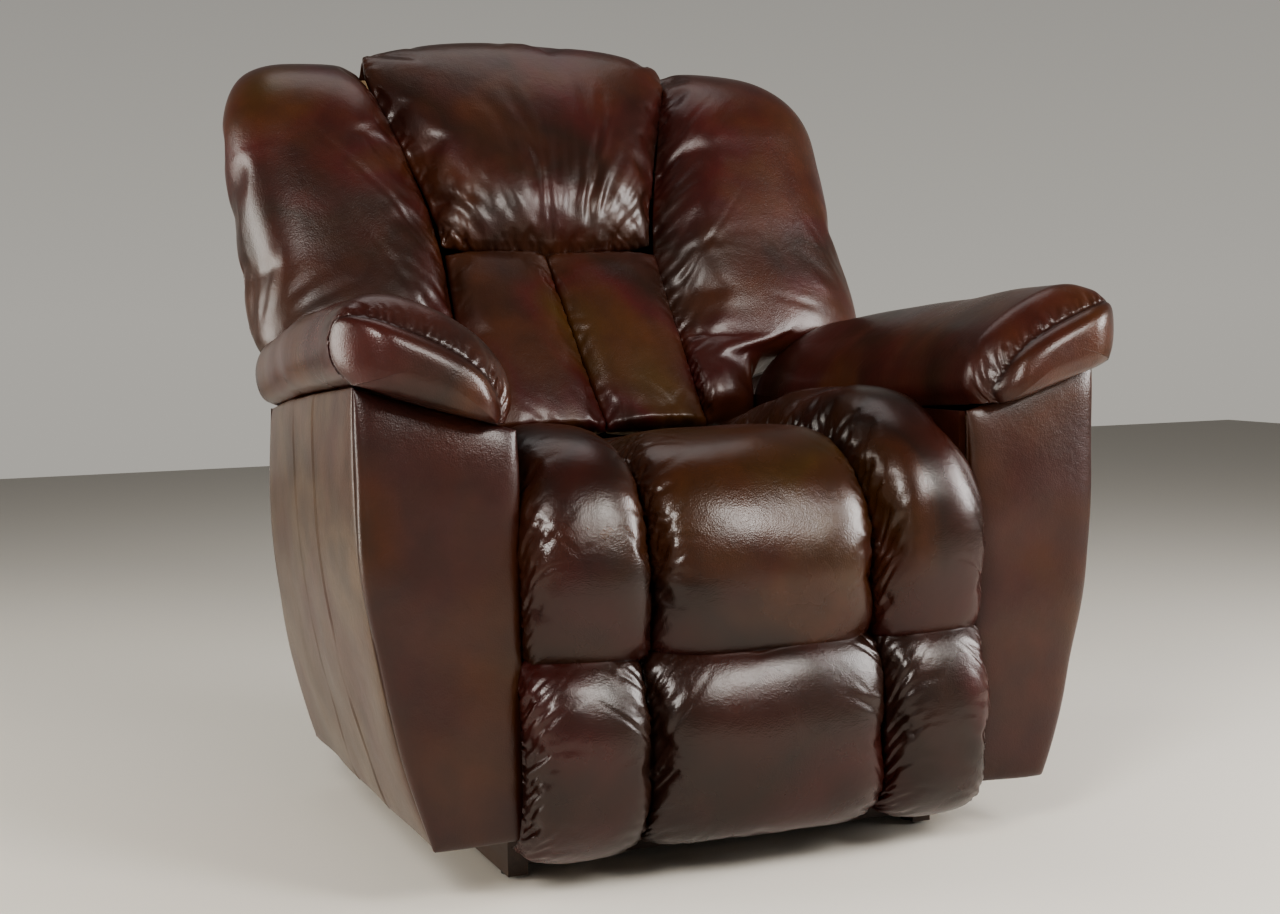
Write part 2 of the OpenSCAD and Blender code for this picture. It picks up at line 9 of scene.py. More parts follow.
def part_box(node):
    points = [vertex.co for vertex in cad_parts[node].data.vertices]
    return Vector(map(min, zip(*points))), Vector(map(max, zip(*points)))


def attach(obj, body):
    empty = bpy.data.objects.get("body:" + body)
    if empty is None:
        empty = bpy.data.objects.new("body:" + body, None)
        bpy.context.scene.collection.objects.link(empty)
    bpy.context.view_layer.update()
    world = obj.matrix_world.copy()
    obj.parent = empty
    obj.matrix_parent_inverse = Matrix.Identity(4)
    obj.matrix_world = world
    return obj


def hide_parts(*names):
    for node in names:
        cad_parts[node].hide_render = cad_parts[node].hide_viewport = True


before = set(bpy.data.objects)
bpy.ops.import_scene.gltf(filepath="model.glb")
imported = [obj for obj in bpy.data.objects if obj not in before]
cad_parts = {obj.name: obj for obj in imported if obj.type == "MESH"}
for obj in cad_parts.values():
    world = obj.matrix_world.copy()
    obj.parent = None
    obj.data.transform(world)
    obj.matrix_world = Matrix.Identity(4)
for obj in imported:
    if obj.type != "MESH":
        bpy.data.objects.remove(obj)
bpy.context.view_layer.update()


# ---- The view ----
# The camera stands in front of the chair, to the sitter's right and a little above the
# seat. It has a short telephoto lens and is rolled by a degree.
eye = Vector((-0.930, -2.444, 0.670))
heading, droop, roll = math.radians(-21.72), math.radians(4.49), math.radians(-1.09)
lens_length, film_width = 52.16, 36
view_back = Vector((
    math.sin(heading) * math.cos(droop), -math.cos(heading) * math.cos(droop), math.sin(droop)
))
view_right = (-view_back).cross(Vector((0, 0, 1))).normalized()
view_up = view_right.cross(-view_back)
camera = bpy.data.objects.new("camera", bpy.data.cameras.new("camera"))
bpy.context.collection.objects.link(camera)
turned_right = view_right * math.cos(roll) + view_up * math.sin(roll)
turned_up = view_up * math.cos(roll) - view_right * math.sin(roll)
turned = Matrix((turned_right, turned_up, view_back)).transposed().to_4x4()
camera.matrix_world = Matrix.Translation(eye) @ turned
camera.data.lens = lens_length
camera.data.sensor_width = film_width
bpy.context.scene.camera = camera


# ---- The room ----
# A wide pale floor under a dim grey sky, with large soft lamps in front, to both sides
# and overhead, as in a furniture studio.
def plain_finish(name, colour, roughness):
    finish = bpy.data.materials.new(name)
    finish.use_nodes = True
    shader = finish.node_tree.nodes["Principled BSDF"]
    shader.inputs["Base Color"].default_value = (*colour, 1)
    shader.inputs["Roughness"].default_value = roughness
    return finish


def object_of(mesh, finish):
    """Puts a mesh into the scene under its own name, in one finish."""
    mesh.materials.append(finish)
    piece = bpy.data.objects.new(mesh.name, mesh)
    bpy.context.collection.objects.link(piece)
    return piece


floor_reach = 6.0
floor_mesh = bpy.data.meshes.new("studio_floor")
floor_corners = [(-1, -1), (1, -1), (1, 1), (-1, 1)]
floor_mesh.from_pydata([(floor_reach * x, floor_reach * y, 0) for x, y in floor_corners], [], [(0, 1, 2, 3)])
floor_mesh.update()
object_of(floor_mesh, plain_finish("pale_floor", (0.80, 0.765, 0.70), 0.85))


def soft_lamp(name, place, target, size, power, tint=(1, 1, 1)):
    lamp = bpy.data.lights.new(name, "AREA")
    lamp.shape = "RECTANGLE"
    lamp.size, lamp.size_y = size
    lamp.energy = power
    lamp.color = tint
    holder = bpy.data.objects.new(name, lamp)
    holder.location = place
    holder.rotation_euler = (Vector(target) - Vector(place)).to_track_quat("-Z", "Y").to_euler()
    bpy.context.collection.objects.link(holder)


soft_lamp("left_key", (-1.7, -2.3, 1.9), (0, -0.2, 0.5), (0.8, 1.0), 46, (1, 0.965, 0.92))
soft_lamp("front_key", (1.0, -2.7, 2.0), (0, 0, 0.6), (0.9, 0.9), 44, (1, 0.965, 0.92))
soft_lamp("right_window", (2.3, -1.5, 1.35), (0, -0.2, 0.5), (1.1, 1.2), 60, (1, 0.98, 0.96))
soft_lamp("side_wall_glow", (-3.2, 0.6, 1.0), (0, 0.1, 0.5), (1.5, 2.0), 84, (1, 0.97, 0.90))
soft_lamp("top_lamp", (0.2, 0.9, 3.0), (0, 0.2, 0.6), (2.0, 1.2), 9)
sky_low, sky_high, sky_turn, sky_strength = (0.54, 0.52, 0.48), (0.16, 0.155, 0.15), 0.55, 0.75
world = bpy.data.worlds.new("studio")
bpy.context.scene.world = world
world.use_nodes = True
room = world.node_tree
looking = room.nodes.new("ShaderNodeTexCoord")
parts = room.nodes.new("ShaderNodeSeparateXYZ")
fade = room.nodes.new("ShaderNodeValToRGB")
fade.color_ramp.elements[0].color = (*sky_low, 1)
fade.color_ramp.elements[1].color = (*sky_high, 1)
fade.color_ramp.elements[1].position = sky_turn
room.links.new(looking.outputs["Generated"], parts.inputs["Vector"])
room.links.new(parts.outputs["Z"], fade.inputs["Fac"])
room.links.new(fade.outputs["Color"], room.nodes["Background"].inputs["Color"])
room.nodes["Background"].inputs["Strength"].default_value = sky_strength
bpy.context.scene.view_settings.view_transform = "AgX"
bpy.context.scene.view_settings.look = "AgX - Medium High Contrast"


# ---- The rocking base and steelwork ----
# Dark stained hardwood rails on plastic glides carry the chair. The plates, links
# and brackets are pressed steel with black paint or bright zinc, riveted together.
def shader_of(finish):
    return finish.node_tree.nodes["Principled BSDF"]


def add_node(finish, kind, **settings):
    new = finish.node_tree.nodes.new(kind)
    for name, value in settings.items():
        setattr(new, name, value)
    return new


def join(finish, source, socket):
    finish.node_tree.links.new(source, socket)


def noise_field(finish, scale, detail=4.0, distortion=0.0, stretch=(1, 1, 1), shift=(0, 0, 0)):
    place = add_node(finish, "ShaderNodeTexCoord")
    mapping = add_node(finish, "ShaderNodeMapping")
    mapping.inputs["Scale"].default_value = stretch
    mapping.inputs["Location"].default_value = shift
    join(finish, place.outputs["Object"], mapping.inputs["Vector"])
    field = add_node(finish, "ShaderNodeTexNoise")
    field.inputs["Scale"].default_value = scale
    field.inputs["Detail"].default_value = detail
    field.inputs["Distortion"].default_value = distortion
    join(finish, mapping.outputs["Vector"], field.inputs["Vector"])
    return field.outputs["Fac"]


def ramp(finish, source, stops):
    bar = add_node(finish, "ShaderNodeValToRGB")
    marks = bar.color_ramp.elements
    while len(marks) < len(stops):
        marks.new(0.5)
    for mark, (place, colour) in zip(marks, stops):
        mark.position = place
        mark.color = (*colour, 1)
    join(finish, source, bar.inputs["Fac"])
    return bar.outputs["Color"]


def mix(finish, factor, low, high, way="MIX"):
    blended = add_node(finish, "ShaderNodeMix", data_type="RGBA", blend_type=way)
    for entry, value in (("Factor", factor), ("A", low), ("B", high)):
        socket = blended.inputs[entry]
        if isinstance(value, bpy.types.NodeSocket):
            join(finish, value, socket)
        else:
            socket.default_value = value if isinstance(value, float) else (*value, 1)
    return blended.outputs["Result"]


def bump_from(finish, source, depth, strength, below=None):
    bump = add_node(finish, "ShaderNodeBump")
    bump.inputs["Distance"].default_value = depth
    bump.inputs["Strength"].default_value = strength
    join(finish, source, bump.inputs["Height"])
    if below:
        join(finish, below, bump.inputs["Normal"])
    return bump.outputs["Normal"]


def roughness_from(finish, source, low, high):
    spread = add_node(finish, "ShaderNodeMapRange")
    spread.inputs["To Min"].default_value = low
    spread.inputs["To Max"].default_value = high
    join(finish, source, spread.inputs["Value"])
    join(finish, spread.outputs["Result"], shader_of(finish).inputs["Roughness"])


def wood_finish(name, dark, light, grain_axis, roughness):
    finish = plain_finish(name, dark, roughness)
    along = {"x": (1, 14, 14), "y": (14, 1, 14), "z": (14, 14, 1)}[grain_axis]
    grain = noise_field(finish, 9, 6, 0.6, along)
    pores = noise_field(finish, 60, 3, 0.0, along)
    tone = mix(finish, 0.35, ramp(finish, grain, [(0.3, dark), (0.7, light)]),
               ramp(finish, pores, [(0.35, dark), (0.6, light)]))
    join(finish, tone, shader_of(finish).inputs["Base Color"])
    join(finish, bump_from(finish, pores, 0.0006, 0.5), shader_of(finish).inputs["Normal"])
    roughness_from(finish, grain, roughness - 0.06, roughness + 0.12)
    return finish


def metal_finish(name, colour, roughness, metallic, wear):
    finish = plain_finish(name, colour, roughness)
    shader_of(finish).inputs["Metallic"].default_value = metallic
    marks = noise_field(finish, 35, 5, 0.3)
    tone = ramp(finish, marks, [(0.35, tuple(c * (1 - wear) for c in colour)), (0.65, colour)])
    join(finish, tone, shader_of(finish).inputs["Base Color"])
    tooth = bump_from(finish, noise_field(finish, 400, 2), 0.0002, 0.35)
    join(finish, tooth, shader_of(finish).inputs["Normal"])
    roughness_from(finish, marks, roughness - 0.05, roughness + 0.15)
    return finish


def dress(finish, *nodes):
    for name in nodes:
        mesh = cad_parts[name].data
        mesh.materials.clear()
        mesh.materials.append(finish)


stained_wood = ((0.020, 0.010, 0.006), (0.060, 0.030, 0.018))
ply_wood = ((0.30, 0.19, 0.10), (0.48, 0.33, 0.19))
hard_wood = ((0.38, 0.25, 0.13), (0.56, 0.40, 0.24))
dress(wood_finish("dark_stained_rail", *stained_wood, "y", 0.38), "base_rail_left", "base_rail_right")
dress(wood_finish("dark_stained_crosspiece", *stained_wood, "x", 0.38), "base_cross_rails")
dress(wood_finish("plywood", *ply_wood, "y", 0.6), "rocker_block_left", "rocker_block_right")
dress(wood_finish("board_plywood", *ply_wood, "x", 0.6), "footrest_board")
dress(wood_finish("frame_hardwood", *hard_wood, "z", 0.62),
      "arm_frames", "back_upright_left", "back_upright_right")
dress(wood_finish("cross_hardwood", *hard_wood, "x", 0.62),
      "rear_cross_rail", "seat_cross_rails", "back_cross_rails")
dress(wood_finish("rail_hardwood", *hard_wood, "y", 0.62), "seat_rail_left", "seat_rail_right")
dress(wood_finish("handle_walnut", (0.030, 0.014, 0.008), (0.095, 0.046, 0.025), "z", 0.26), "release_handle")
dress(metal_finish("black_painted_steel", (0.030, 0.030, 0.033), 0.42, 0.0, 0.35),
      "base_corner_brackets", "spring_seats", "mechanism_plate_left", "mechanism_plate_right",
      "front_cross_tube", "spring_hangers", "seat_hinge_lugs", "back_brackets", "footrest_brackets")
dress(metal_finish("bright_zinc_steel", (0.60, 0.61, 0.62), 0.34, 1.0, 0.25),
      "recline_shaft", "drive_shaft", "drive_links", "slide_links", "lower_links", "upper_links")
dress(metal_finish("spring_steel", (0.30, 0.30, 0.32), 0.36, 1.0, 0.3),
      "rocker_springs", "seat_springs", "back_springs")
dress(metal_finish("natural_nylon", (0.72, 0.70, 0.64), 0.5, 0.0, 0.12), "drive_bushes")
dress(metal_finish("black_glide_plastic", (0.018, 0.018, 0.018), 0.55, 0.0, 0.2), "floor_glides")
dress(metal_finish("deck_cloth", (0.030, 0.030, 0.034), 0.9, 0.0, 0.4), "seat_deck")


# ---- The seat ----
# Three deep channels of fibre over foam, cut from glossy mottled hide. The seams are
# pulled down to the deck, so the hide gathers into small puckers along them.
curve_passes = 6


def soft_curve(points, count):
    """A smooth line through the middle of a few guide points, evenly resampled."""
    line = np.array(points, float)
    for _ in range(curve_passes):
        near, far = line[:-1], line[1:]
        cut = np.empty((2 * len(near), line.shape[1]))
        cut[0::2] = 0.75 * near + 0.25 * far
        cut[1::2] = 0.25 * near + 0.75 * far
        line = np.vstack([line[:1], cut, line[-1:]])
    reach = np.concatenate([[0], np.cumsum(np.linalg.norm(np.diff(line, axis=0), axis=1))])
    places = np.linspace(0, reach[-1], count)
    return np.stack([np.interp(places, reach, line[:, k]) for k in range(line.shape[1])], axis=1)


def edge_crowded(count, crowding=0.6):
    """Numbers from -1 to 1, closer together near both ends."""
    even = np.linspace(-1, 1, count)
    return (1 - crowding) * even + crowding * np.sin(even * math.pi / 2)


def swell(across, fullness, steepness=2.2):
    """The height of a stuffed section, from 0 at its seams to 1."""
    return np.clip(1 - np.abs(across) ** fullness, 0, 1) ** (1 / steepness)


def eased(values, width):
    """Rounds off the corners in a run of values by averaging neighbours twice."""
    side = width // 2
    for _ in range(2):
        ends = [np.repeat(values[:1], side, axis=0), values, np.repeat(values[-1:], side, axis=0)]
        total = np.cumsum(np.concatenate([np.zeros_like(values[:1])] + ends), axis=0)
        values = (total[2 * side + 1:] - total[:-2 * side - 1]) / (2 * side + 1)
    return values


def outward(grid):
    """Unit normals of a grid whose rows run down and whose columns run to the right."""
    down = np.gradient(grid, axis=0)
    over = np.gradient(grid, axis=1)
    facing = np.cross(down, over)
    length = np.linalg.norm(facing, axis=2, keepdims=True)
    return facing / np.maximum(length, 1e-9)


def edge_distances(grid):
    """Each point's way along the grid and its distance over the hide from each edge."""
    up = np.linalg.norm(np.diff(grid, axis=0), axis=2)
    over = np.linalg.norm(np.diff(grid, axis=1), axis=2)
    from_first = np.vstack([np.zeros((1, grid.shape[1])), np.cumsum(up, axis=0)])
    from_left = np.hstack([np.zeros((grid.shape[0], 1)), np.cumsum(over, axis=1)])
    return {
        "first": (from_left, from_first),
        "last": (from_left, from_first[-1:] - from_first),
        "left": (from_first, from_left),
        "right": (from_first, from_left[:, -1:] - from_left),
    }


def gather(grid, edge, dice, spacing, reach, depth, width=0.0045, slant=(-0.4, 0.4), span=(0.0, 1.0)):
    """Presses puckers into a grid, starting at one sewn edge and dying out inward."""
    along, inward = edge_distances(grid)[edge]
    total = along.max()
    push = np.zeros(along.shape)
    place = total * span[0] + spacing * dice.random()
    while place < total * span[1]:
        length = reach * dice.uniform(0.35, 1.0)
        lean = dice.uniform(*slant)
        wide = width * dice.uniform(0.7, 1.5)
        deep = depth * dice.uniform(0.4, 1.1)
        bend = dice.uniform(-6, 6)
        offset = along - place - lean * inward - bend * inward ** 2
        fade = np.clip(1 - inward / length, 0, 1) ** 0.9 * np.clip(inward / 0.006, 0.25, 1)
        here = wide * (1 + 0.7 * inward / length)
        valley = np.exp(-((offset / here) ** 2))
        lips = np.exp(-(((np.abs(offset) - 2.0 * here) / here) ** 2))
        push += deep * fade * (0.45 * lips - valley)
        place += spacing * dice.uniform(0.45, 1.5)
    return grid + outward(grid) * push[..., None]


def undulate(grid, size, depth, seed):
    """Slow unevenness of the filling under the hide."""
    drift = Vector((seed * 1.7, seed * 0.9, seed * 2.3))
    lumps = np.array([
        [noise.noise(Vector(point) / size + drift) for point in row] for row in grid
    ])
    return grid + outward(grid) * (lumps * depth)[..., None]


def sheet_points(shell, front, back):
    """The points of a front and a back sheet in a shell, the two sharing the points round their edges."""
    rows, columns = front.shape[:2]
    face_points = [[shell.verts.new(place) for place in line] for line in front]
    rear_points = [[
        face_points[i][j] if i in (0, rows - 1) or j in (0, columns - 1) else shell.verts.new(back[i, j])
        for j in range(columns)] for i in range(rows)]
    return face_points, rear_points


def cell(points, i, j, turned=False):
    """The corners of one cell in a net of points, in order, or the other way round."""
    ring = [points[i][j], points[i][j + 1], points[i + 1][j + 1], points[i + 1][j]]
    return ring[:1] + ring[:0:-1] if turned else ring


settling_frames, stuffing_pressure = 20, 4


def filled_out(front, back, most, ease=0.03, stride=5):
    """Lets a sewn case fill out as cloth under the pressure of its stuffing, with its seams held.

    A coarser net of the case moves, never further than most, and the front sheet follows it."""
    rows, columns = front.shape[:2]
    down = sorted(set(range(0, rows, stride)) | {rows - 1})
    over = sorted(set(range(0, columns, stride // 2 + 1)) | {columns - 1})
    coarse_front, coarse_back = front[np.ix_(down, over)], back[np.ix_(down, over)]
    shell = bmesh.new()
    face_points, rear_points = sheet_points(shell, coarse_front, coarse_back)
    for i in range(len(down) - 1):
        for j in range(len(over) - 1):
            shell.faces.new(cell(face_points, i, j, turned=True))
            shell.faces.new(cell(rear_points, i, j))
    bmesh.ops.recalc_face_normals(shell, faces=shell.faces)
    shell.verts.index_update()
    order = np.array([[point.index for point in line] for line in face_points])
    mesh = bpy.data.meshes.new("case_trial")
    shell.to_mesh(mesh)
    shell.free()
    trial = bpy.data.objects.new("case_trial", mesh)
    bpy.context.collection.objects.link(trial)
    held = trial.vertex_groups.new(name="seams")
    rim = np.concatenate([order[0], order[-1], order[:, 0], order[:, -1]])
    held.add([int(k) for k in set(rim)], 1.0, "REPLACE")
    cloth = trial.modifiers.new("stuffing", "CLOTH")
    cloth.settings.quality = 5
    cloth.settings.mass = 0.4
    cloth.settings.bending_stiffness = 1.5
    cloth.settings.use_pressure = True
    cloth.settings.uniform_pressure_force = stuffing_pressure
    cloth.settings.shrink_min = -ease
    cloth.settings.vertex_group_mass = "seams"
    cloth.settings.effector_weights.gravity = 0
    cloth.point_cache.frame_start, cloth.point_cache.frame_end = 1, settling_frames
    for frame_number in range(1, settling_frames + 1):
        bpy.context.scene.frame_set(frame_number)
    settled = trial.evaluated_get(bpy.context.evaluated_depsgraph_get()).data
    places = np.empty(len(settled.vertices) * 3)
    settled.vertices.foreach_get("co", places)
    moved = places.reshape(-1, 3)[order] - coarse_front
    bpy.context.scene.frame_set(1)
    bpy.data.objects.remove(trial)
    length = np.linalg.norm(moved, axis=2, keepdims=True)
    moved *= most * np.tanh(length / most) / np.maximum(length, 1e-9)
    rows_at, columns_at = np.arange(rows), np.arange(columns)
    wide = np.array([[np.interp(columns_at, over, line[:, k]) for k in range(3)] for line in moved])
    fine = np.array([[np.interp(rows_at, down, wide[:, k, j]) for k in range(3)] for j in range(columns)])
    fine = fine.transpose(2, 0, 1)
    fine = eased(fine, stride)
    fine = eased(fine.transpose(1, 0, 2), stride // 2 + 1).transpose(1, 0, 2)
    fine[[0, -1]] = 0
    fine[:, [0, -1]] = 0
    return front + fine, back


def smooth_object(name, shell, finish):
    mesh = bpy.data.meshes.new(name)
    shell.to_mesh(mesh)
    shell.free()
    mesh.shade_smooth()
    return object_of(mesh, finish)


seam_shade_reach = 0.007


def sewn_case(name, front, back, seams, finish):
    """One stuffed case: a front and a back sheet sewn together round their edges."""
    rows, columns = front.shape[:2]
    shell = bmesh.new()
    face_points, rear_points = sheet_points(shell, front, back)
    for i in range(rows - 1):
        for j in range(columns - 1):
            shell.faces.new(cell(face_points, i, j))
            shell.faces.new(cell(rear_points, i, j, turned=True))
    bmesh.ops.remove_doubles(shell, verts=shell.verts, dist=1e-6)
    bmesh.ops.recalc_face_normals(shell, faces=shell.faces)
    distances = edge_distances(front)
    nearest = np.full((rows, columns), 1.0)
    for edge in seams:
        nearest = np.minimum(nearest, distances[edge][1])
    shade = np.exp(-nearest / seam_shade_reach)
    layer = shell.verts.layers.float.new("seam_shade")
    shell.verts.ensure_lookup_table()
    for i in range(rows):
        for j in range(columns):
            if face_points[i][j].is_valid:
                face_points[i][j][layer] = float(shade[i, j])
    return smooth_object(name, shell, finish)


def fit_out(piece, body, slot, nodes, fill=None):
    """Fixes a made piece to its moving body, in place of the plain nodes."""
    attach(piece, body)
    if nodes:
        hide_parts(*nodes)


def hide_finish(name, tones, patch_size=3.4, gloss=0.30, shift=(0, 0, 0), strength=1.0):
    """Aniline hide: soft patches of four browns, flushed with a fifth, under a clear glossy coat."""
    *patch_tones, flush = [tuple(strength * part for part in tone) for tone in tones]
    finish = plain_finish(name, patch_tones[0], gloss)
    shader = shader_of(finish)
    patches = noise_field(finish, patch_size, 2.5, 0.5, shift=shift)
    base = ramp(finish, patches, list(zip((0.30, 0.44, 0.56, 0.70), patch_tones)))
    flushed = ramp(finish, noise_field(finish, patch_size * 1.9, 2, 0.3, shift=(3, 7, 1)), [
        (0.45, (0, 0, 0)), (0.75, (1, 1, 1))])
    base = mix(finish, flushed, base, flush)
    clouds = ramp(finish, noise_field(finish, 26, 5, 0.2), [
        (0.3, (0.80, 0.80, 0.80)), (0.7, (1.12, 1.10, 1.08))])
    base = mix(finish, 1.0, base, clouds, "MULTIPLY")
    seam = add_node(finish, "ShaderNodeAttribute", attribute_name="seam_shade")
    base = mix(finish, seam.outputs["Fac"], base, mix(finish, 0.72, base, (0.012, 0.004, 0.003)))
    join(finish, base, shader.inputs["Base Color"])
    pores = add_node(finish, "ShaderNodeTexVoronoi", feature="F1")
    pores.inputs["Scale"].default_value = 520
    place = add_node(finish, "ShaderNodeTexCoord")
    join(finish, place.outputs["Object"], pores.inputs["Vector"])
    grain = bump_from(finish, pores.outputs["Distance"], 0.0005, 0.35)
    grain = bump_from(finish, noise_field(finish, 150, 4, 0.4), 0.0008, 0.30, grain)
    grain = bump_from(finish, noise_field(finish, 30, 3, 0.8), 0.0035, 0.16, grain)
    join(finish, grain, shader.inputs["Normal"])
    roughness_from(finish, noise_field(finish, 11, 4, 0.3, shift=(5, 2, 8)), gloss - 0.06, gloss + 0.11)
    shader.inputs["Specular IOR Level"].default_value = 0.45
    shader.inputs["Coat Weight"].default_value = 0.16
    shader.inputs["Coat Roughness"].default_value = 0.18
    return finish


dark_brown = (0.024, 0.0095, 0.0055)
oxblood = (0.046, 0.0110, 0.0065)
chestnut = (0.060, 0.0200, 0.0075)
amber = (0.058, 0.0270, 0.0060)
burgundy = (0.050, 0.0090, 0.0070)
seat_hide = hide_finish("seat_hide", [oxblood, dark_brown, chestnut, amber, burgundy],
                        gloss=0.23, strength=0.70)

seat_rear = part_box("seat_cushion_centre")[1][1]


def channel_case(x_span, guide, rise, sink, seed, rows, columns, ends=0.06, fullness=3.2):
    """A channel sewn along both sides, following a side-view guide line."""
    line = soft_curve(guide, rows)
    way = np.gradient(line, axis=0)
    way /= np.linalg.norm(way, axis=1, keepdims=True)
    facing = np.stack([way[:, 1], -way[:, 0]], axis=1)
    along = np.linspace(0, 1, rows)
    across = edge_crowded(columns)
    half = (x_span[1] - x_span[0]) / 2
    middle_x = (x_span[1] + x_span[0]) / 2
    height = eased(np.interp(along, *rise), rows // 7)
    round_off = np.clip(1 - np.clip(1 - np.minimum(along, 1 - along) / ends, 0, 1) ** 2, 0, 1) ** 0.5
    pulled = 1 - 0.015 * (1 - round_off)
    form = swell(across, fullness)[None, :] * round_off[:, None]
    flat = np.zeros((rows, columns, 3))
    flat[..., 0] = middle_x + half * across[None, :] * pulled[:, None]
    flat[..., 1] = line[:, 0][:, None]
    flat[..., 2] = line[:, 1][:, None]
    normal = np.zeros_like(flat)
    normal[..., 1] = facing[:, 0][:, None]
    normal[..., 2] = facing[:, 1][:, None]
    crown = 1 + 0.10 * (1 - across[None, :] ** 2)
    front = flat + normal * (form * height[:, None] * crown)[..., None]
    back = flat - normal * (swell(across, 5)[None, :] * round_off[:, None] * sink)[..., None]
    front = undulate(front, size=0.09, depth=0.004, seed=seed)
    return front, back


seat_guide = [
    (seat_rear, 0.468), (-0.10, 0.476), (-0.26, 0.492), (-0.385, 0.492), (-0.452, 0.452),
    (-0.474, 0.385), (-0.474, 0.320), (-0.466, 0.284), (-0.446, 0.271),
]
seat_rise_places, seat_sink = [0, 0.12, 0.45, 0.62, 0.85, 1], 0.010
# In front of the arms the outer channels spread a little over the arm fronts
lip_from, lip_run, flare_from, flare_run, flare_left, flare_right = -0.455, 0.03, 0.22, 0.07, 0.013, 0.006
# The lip is pulled up flat underneath, clear of the footrest's links
seat_hem, hem_ease = 0.266, 0.010
for part, x_span, rise, seed in (
    ("left", (0.150, 0.291), [0.020, 0.046, 0.070, 0.064, 0.050, 0.030], 11),
    ("centre", (-0.136, 0.150), [0.010, 0.010, 0.012, 0.032, 0.046, 0.030], 12),
    ("right", (-0.291, -0.136), [0.010, 0.014, 0.026, 0.042, 0.046, 0.030], 13),
):
    dice = np.random.default_rng(seed)
    middle = part == "centre"
    front, back = channel_case(x_span, seat_guide, (seat_rise_places, rise), seat_sink, seed, rows=460,
                               columns=120 if middle else 84, fullness=4.4 if middle else 3.0)
    for grid in (front, back):
        over_arm = np.clip((lip_from - grid[..., 1]) / lip_run, 0, 1)
        grid[..., 0] += flare_left * over_arm * np.clip((grid[..., 0] - flare_from) / flare_run, 0, 1)
        grid[..., 0] -= flare_right * over_arm * np.clip((-grid[..., 0] - flare_from) / flare_run, 0, 1)
    front, back = filled_out(front, back, most=0.009)
    for edge in ("left", "right"):
        front = gather(front, edge, dice, spacing=0.0080, reach=0.052, depth=0.0016, width=0.0026,
                       slant=(-0.5, 0.5))
        front = gather(front, edge, dice, spacing=0.011, reach=0.100, depth=0.0013, width=0.0030,
                       slant=(-0.7, 0.7), span=(0.05, 0.80))
        front = gather(front, edge, dice, spacing=0.034, reach=0.085, depth=0.0012, width=0.0052,
                       slant=(-0.6, 0.6), span=(0.05, 0.95))
    front = gather(front, "last", dice, spacing=0.012, reach=0.030, depth=0.0014, width=0.0026)
    for grid in (front, back):
        low = grid[..., 2] < seat_hem + hem_ease
        grid[low, 2] = seat_hem + hem_ease * np.exp((grid[low, 2] - seat_hem - hem_ease) / hem_ease)
    channel = sewn_case(f"seat_channel_{part}", front, back, ("left", "right", "last"), seat_hide)
    fit_out(channel, "seat", "seat_leather", [f"seat_cushion_{part}"], fill=0.8)


# ---- The footrest ----
# Three short channels of the same hide over fibre, sewn along their sides and stapled
# round the edge of the plywood board.
footrest_hide = hide_finish("footrest_hide", [oxblood, dark_brown, burgundy, chestnut, dark_brown],
                            shift=(2, 4, 9), gloss=0.24, strength=0.78)
rest_guide = [
    (-0.438, 0.272), (-0.474, 0.264), (-0.490, 0.225), (-0.492, 0.165), (-0.488, 0.108),
    (-0.472, 0.071), (-0.440, 0.056),
]
rest_rise = ([0, 0.15, 0.4, 0.75, 1], [0.012, 0.030, 0.040, 0.036, 0.018])
for part, x_span, seed in (
    ("left", (0.156, 0.302), 21), ("centre", (-0.149, 0.156), 22), ("right", (-0.302, -0.149), 23),
):
    dice = np.random.default_rng(seed)
    middle = part == "centre"
    front, back = channel_case(x_span, rest_guide, rest_rise, 0.0, seed, rows=190,
                               columns=120 if middle else 84, ends=0.10, fullness=4.4 if middle else 3.0)
    front, back = filled_out(front, back, most=0.008)
    for edge in ("left", "right"):
        front = gather(front, edge, dice, spacing=0.0080, reach=0.054, depth=0.0016, width=0.0026,
                       slant=(-0.5, 0.5))
        front = gather(front, edge, dice, spacing=0.010, reach=0.100, depth=0.0014, width=0.0030,
                       slant=(-0.6, 0.6))
        front = gather(front, edge, dice, spacing=0.026, reach=0.080, depth=0.0012, width=0.0052,
                       slant=(-0.6, 0.6), span=(0.05, 0.95))
    front = gather(front, "first", dice, spacing=0.013, reach=0.035, depth=0.0015, width=0.0028)
    channel = sewn_case(f"footrest_channel_{part}", front, back, ("left", "right"), footrest_hide)
    fit_out(channel, "footrest", "footrest_leather", [f"footrest_cushion_{part}"], fill=0.75)


# ---- The back cushions ----
# A headrest, two lumbar pads and two side wings, each a case of the same hide stuffed
# with fibre. They are sewn to each other at their edges and pulled on to the frame.
hinge_lift = Vector((0, 0.190, 0.330))
lean = math.radians(20)


def on_lean(x, depth, rise):
    """Turns a place on the leaning back (across, front to rear, up) into the chair's own frame."""
    return np.stack([
        x + 0 * depth,
        hinge_lift.y + depth * math.cos(lean) + rise * math.sin(lean),
        hinge_lift.z - depth * math.sin(lean) + rise * math.cos(lean),
    ], axis=-1)


